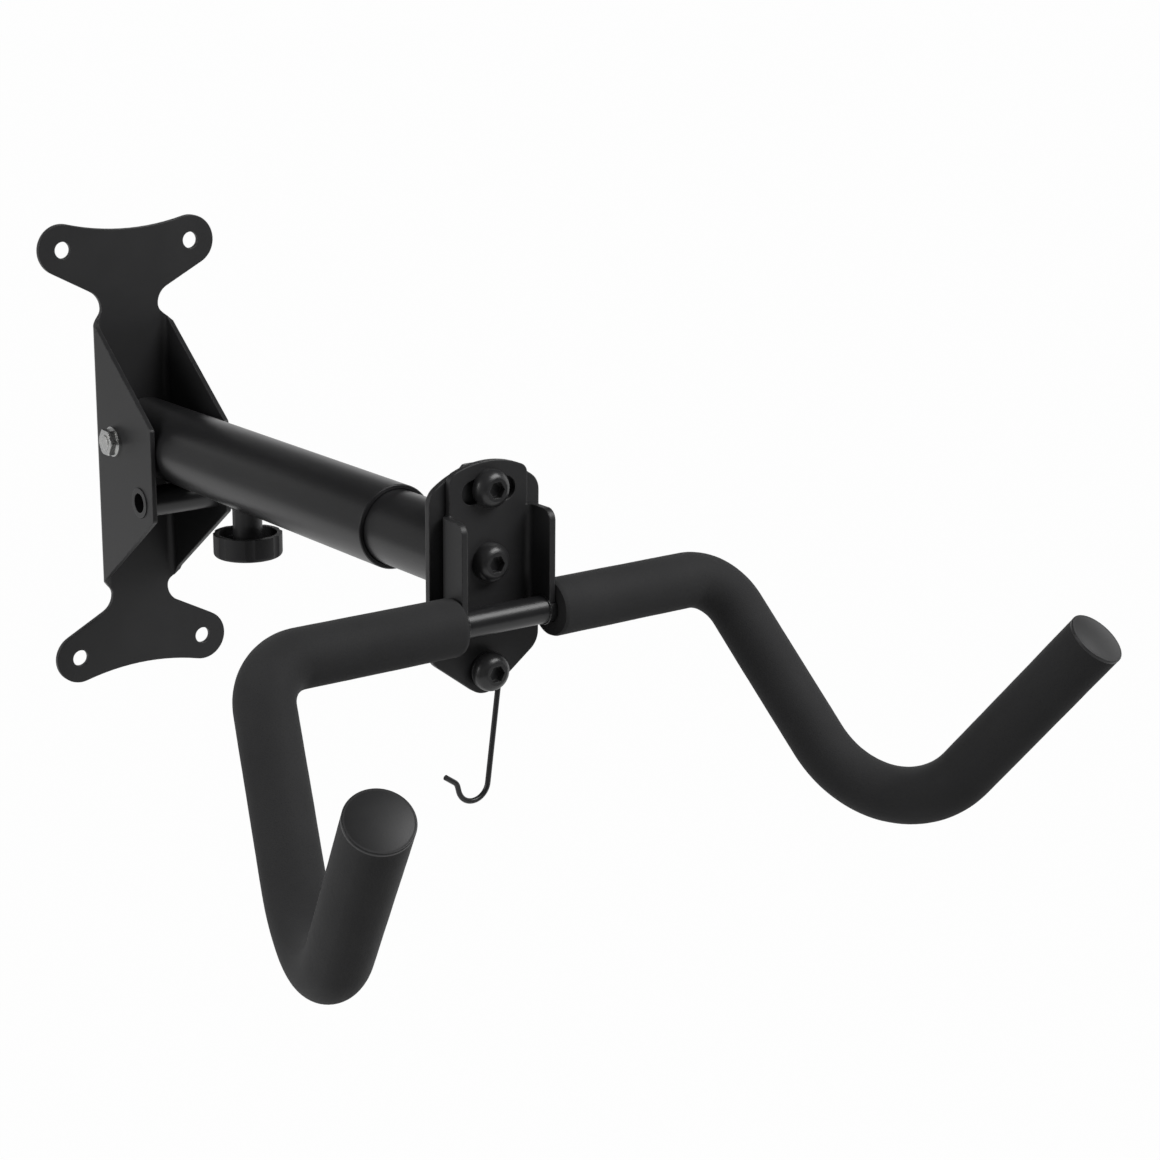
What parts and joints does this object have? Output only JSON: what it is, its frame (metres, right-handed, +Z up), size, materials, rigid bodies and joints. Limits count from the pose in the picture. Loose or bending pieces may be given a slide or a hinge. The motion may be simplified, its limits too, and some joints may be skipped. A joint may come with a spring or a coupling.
{
  "type": "bicycle wall rack",
  "caption": "Folding wall rack for a bicycle: sheet bracket, telescopic tube arm with a clamp knob, tilting head and a bent bar with foam-covered cradle arms.",
  "frame": {"origin": "middle of the four wall holes on the back face of the wall plate", "axes": "+Y into the wall, -Y out along the arm, +Z up, +X to the right when facing the wall"},
  "size_m": [0.3816, 0.5393, 0.2514],
  "materials": {
    "black_powder_coat": "satin black powder coat",
    "zinc_plate": "bright zinc plate",
    "black_steel": "black oxide",
    "black_plastic": "fine moulded texture",
    "nylon": "natural nylon",
    "foam": "closed-cell foam with a matte skin"
  },
  "bodies": {
    "wall_mount": {"wall_bracket": "black_powder_coat", "stop_tube": "black_powder_coat", "pivot_bolt": "zinc_plate", "pivot_nut": "zinc_plate", "pivot_washers": "zinc_plate"},
    "outer_arm": {"outer_tube": "black_powder_coat", "pivot_sleeve": "zinc_plate", "clamp_boss": "black_powder_coat"},
    "clamp_pad": {"pressure_pad": "nylon"},
    "clamp_handle": {"clamp_knob": "black_plastic", "clamp_screw": "zinc_plate"},
    "inner_arm": {"inner_tube": "black_powder_coat", "tilt_base_plate": "black_powder_coat", "tilt_pivot_bolt": "black_steel", "tilt_pivot_nut": "black_steel", "tilt_lock_bolt": "black_steel", "tilt_lock_nut": "black_steel", "hook_bolt": "black_steel", "hook_bolt_nut": "black_steel"},
    "cradle": {"arm_bracket": "black_powder_coat", "arm_bar": "black_powder_coat", "left_foam_sleeve": "foam", "right_foam_sleeve": "foam", "left_end_cap": "black_plastic", "right_end_cap": "black_plastic"},
    "hanging_hook": {"wire_hook": "black_steel"}
  },
  "joints": [
    {"name": "arm_fold", "type": "hinge", "parent": "wall_mount", "child": "outer_arm", "pos_m": [0, -0.0245, 0.0117], "axis": [-1, 0, 0], "range_deg": [0, 82]},
    {"name": "arm_telescope", "type": "slide", "parent": "outer_arm", "child": "inner_arm", "axis": [0, -1, 0], "range_m": [-0.06, 0.02]},
    {"name": "head_tilt", "type": "hinge", "parent": "inner_arm", "child": "cradle", "pos_m": [0, -0.3367, 0.0117], "axis": [0, -1, 0], "range_deg": [-15, 15]},
    {"name": "hook_swing", "type": "hinge", "parent": "inner_arm", "child": "hanging_hook", "pos_m": [0, -0.3367, -0.0383], "axis": [0, -1, 0], "range_deg": [-80, 80]},
    {"name": "clamp_pad_travel", "type": "slide", "parent": "outer_arm", "child": "clamp_pad", "axis": [0, 0, -1], "range_m": [0, 0.00251]},
    {"name": "clamp_knob_turn", "type": "hinge", "parent": "clamp_pad", "child": "clamp_handle", "pos_m": [0, -0.1248, -0.025], "axis": [0, 0, -1], "range_deg": [0, 720]}
  ],
  "couplings": [
    {"joint": "clamp_pad_travel", "follows": "clamp_knob_turn", "m_per_rad": 0.00019894}
  ]
}
